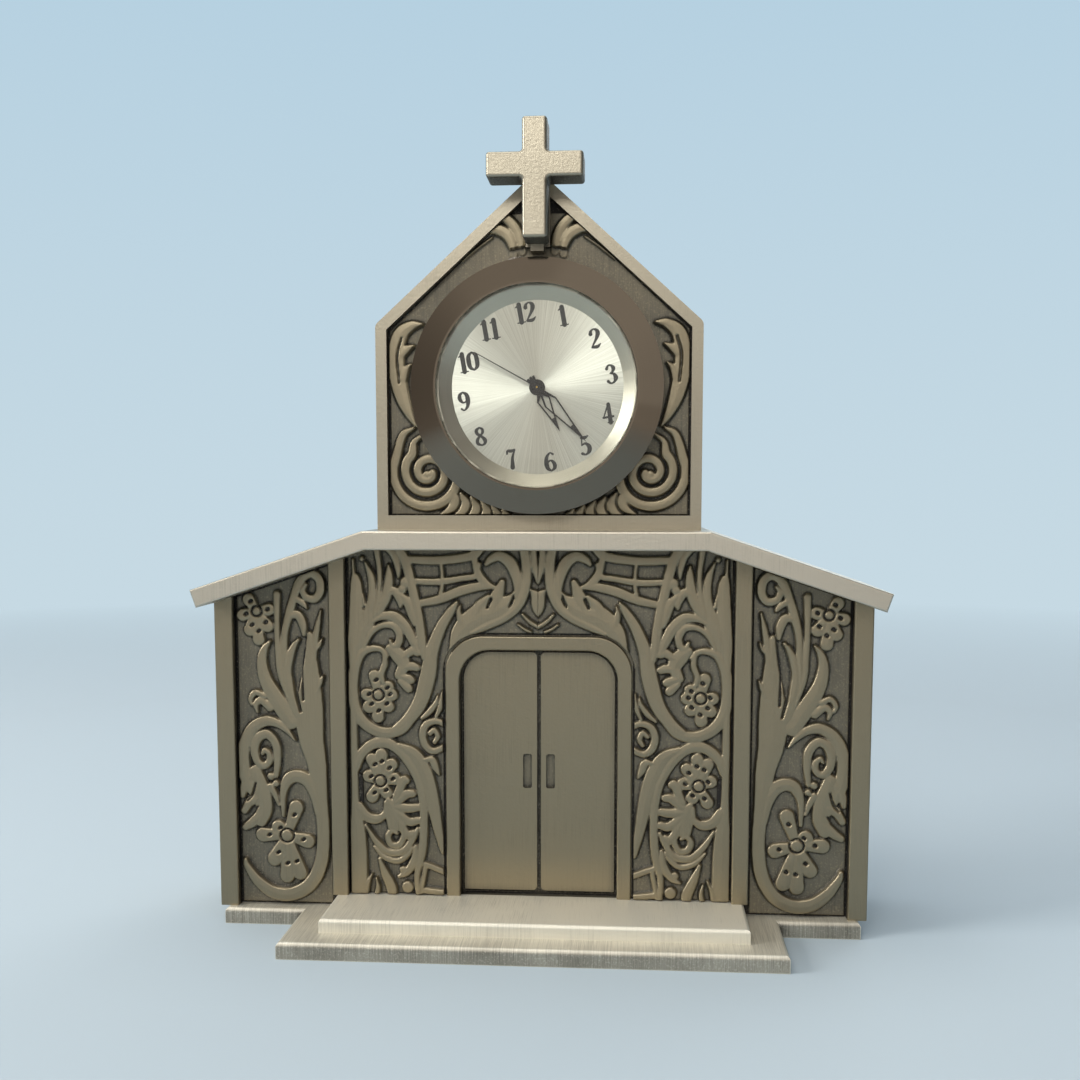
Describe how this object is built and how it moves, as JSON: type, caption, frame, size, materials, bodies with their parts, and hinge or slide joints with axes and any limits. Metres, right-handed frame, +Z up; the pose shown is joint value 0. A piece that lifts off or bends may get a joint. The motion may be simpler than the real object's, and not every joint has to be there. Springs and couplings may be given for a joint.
{
  "type": "steeple clock",
  "caption": "Small cast-metal church whose gabled tower holds a round pull-out quartz clock below a cross.",
  "frame": {"origin": "middle of the footprint, on the surface that the base plate stands on", "axes": "+Z up, +X to the right seen from the front, the dial faces -Y"},
  "size_m": [0.0748, 0.0254, 0.0871],
  "materials": {
    "cast_metal": "antiqued zinc casting, dark in the lows and rubbed bright on the highs",
    "cover_plate": "plain sheet, satin",
    "screw_steel": "turned, zinc plated",
    "bezel_steel": "finely turned and polished",
    "crystal": "clear mineral glass",
    "reflector": "bright plated",
    "dial_silver": "silvered, sunray brushed, printed numerals",
    "hand_black": "satin black",
    "case_steel": "drawn shell",
    "grip_plastic": "moulded, black",
    "holder_plastic": "moulded, white",
    "plate_brass": "nickel-washed brass",
    "wheel_brass": "cut brass",
    "rotor_plastic": "moulded ferrite-filled plastic",
    "coil_copper": "enamelled copper winding",
    "iron_sheet": "soft iron sheet",
    "board_green": "solder-masked board",
    "cell_steel": "nickel-plated can",
    "crown_metal": "knurled, darkened"
  },
  "bodies": {
    "clock_case": {"nave_casting": "cast_metal", "tower_casting": "cast_metal", "roof_plate": "cast_metal", "cross": "cast_metal", "upper_step": "cast_metal", "base_plate": "cast_metal", "nave_back_cover": "cover_plate", "tower_back_cover": "cover_plate", "cover_screws": "screw_steel", "base_screws": "screw_steel", "tower_screws": "screw_steel"},
    "grip": {"grip_ring": "grip_plastic"},
    "insert": {"bezel": "bezel_steel", "glass": "crystal", "reflector_ring": "reflector", "dial": "dial_silver", "insert_case": "case_steel", "insert_case_back": "case_steel", "movement_holder": "holder_plastic", "mainplate": "plate_brass", "train_bridge": "plate_brass", "stator": "iron_sheet", "coil": "coil_copper", "cell": "cell_steel", "cell_clip": "cell_steel", "circuit_board": "board_green", "movement_screws": "screw_steel"},
    "stem": {"stem": "case_steel"},
    "crown": {"crown": "crown_metal"},
    "setting_lever": {"setting_lever": "case_steel"},
    "minute_train": {"centre_wheel": "wheel_brass", "minute_hand": "hand_black"},
    "hour_train": {"hour_wheel": "wheel_brass", "hour_hand": "hand_black"},
    "minute_wheel": {"minute_wheel": "wheel_brass"},
    "seconds_train": {"fourth_wheel": "wheel_brass", "second_hand": "hand_black"},
    "third_wheel": {"third_wheel": "wheel_brass"},
    "fifth_wheel": {"fifth_wheel": "wheel_brass"},
    "rotor": {"rotor": "rotor_plastic"}
  },
  "joints": [
    {"name": "insert_pull", "type": "slide", "parent": "clock_case", "child": "grip", "axis": [0, -1, 0], "range_m": [0, 0.007]},
    {"name": "insert_twist", "type": "hinge", "parent": "grip", "child": "insert", "pos_m": [0, 0.00025, 0.0599], "axis": [0, 1, 0], "range_deg": [-30, 1.5]},
    {"name": "crown_pull", "type": "slide", "parent": "insert", "child": "stem", "axis": [-0.1736, 0, 0.9848], "range_m": [0, 0.0008]},
    {"name": "crown_turn", "type": "hinge", "parent": "stem", "child": "crown", "pos_m": [-0.00226, -0.0008, 0.0727], "axis": [-0.1736, 0, 0.9848], "continuous": true},
    {"name": "setting_lever_swing", "type": "hinge", "parent": "insert", "child": "setting_lever", "pos_m": [0.00091, 0.00005, 0.06656], "axis": [0, 1, 0], "range_deg": [0, 25.7]},
    {"name": "minute_turn", "type": "hinge", "parent": "insert", "child": "minute_train", "pos_m": [0, -0.00075, 0.0599], "axis": [0, 1, 0], "continuous": true},
    {"name": "hour_turn", "type": "hinge", "parent": "insert", "child": "hour_train", "pos_m": [0, -0.00175, 0.0599], "axis": [0, 1, 0], "continuous": true},
    {"name": "minute_wheel_turn", "type": "hinge", "parent": "insert", "child": "minute_wheel", "pos_m": [-0.00026, -0.00075, 0.06138], "axis": [0, 1, 0], "continuous": true},
    {"name": "second_turn", "type": "hinge", "parent": "insert", "child": "seconds_train", "pos_m": [0, 0.00025, 0.0599], "axis": [0, 1, 0], "continuous": true},
    {"name": "third_wheel_turn", "type": "hinge", "parent": "insert", "child": "third_wheel", "pos_m": [-0.00203, 0.00025, 0.05916], "axis": [0, 1, 0], "continuous": true},
    {"name": "fifth_wheel_turn", "type": "hinge", "parent": "insert", "child": "fifth_wheel", "pos_m": [0.00129, 0.00025, 0.06098], "axis": [0, 1, 0], "continuous": true},
    {"name": "rotor_turn", "type": "hinge", "parent": "insert", "child": "rotor", "pos_m": [0.00261, 0.00025, 0.06098], "axis": [0, 1, 0], "continuous": true}
  ],
  "couplings": [
    {"joint": "setting_lever_swing", "follows": "crown_pull", "rad_per_m": 560},
    {"joint": "hour_turn", "follows": "minute_turn", "ratio": 0.083333},
    {"joint": "minute_wheel_turn", "follows": "minute_turn", "ratio": -0.33333},
    {"joint": "second_turn", "follows": "minute_turn", "ratio": 60},
    {"joint": "third_wheel_turn", "follows": "minute_turn", "ratio": -8},
    {"joint": "fifth_wheel_turn", "follows": "minute_turn", "ratio": -360},
    {"joint": "rotor_turn", "follows": "minute_turn", "ratio": 1800}
  ]
}
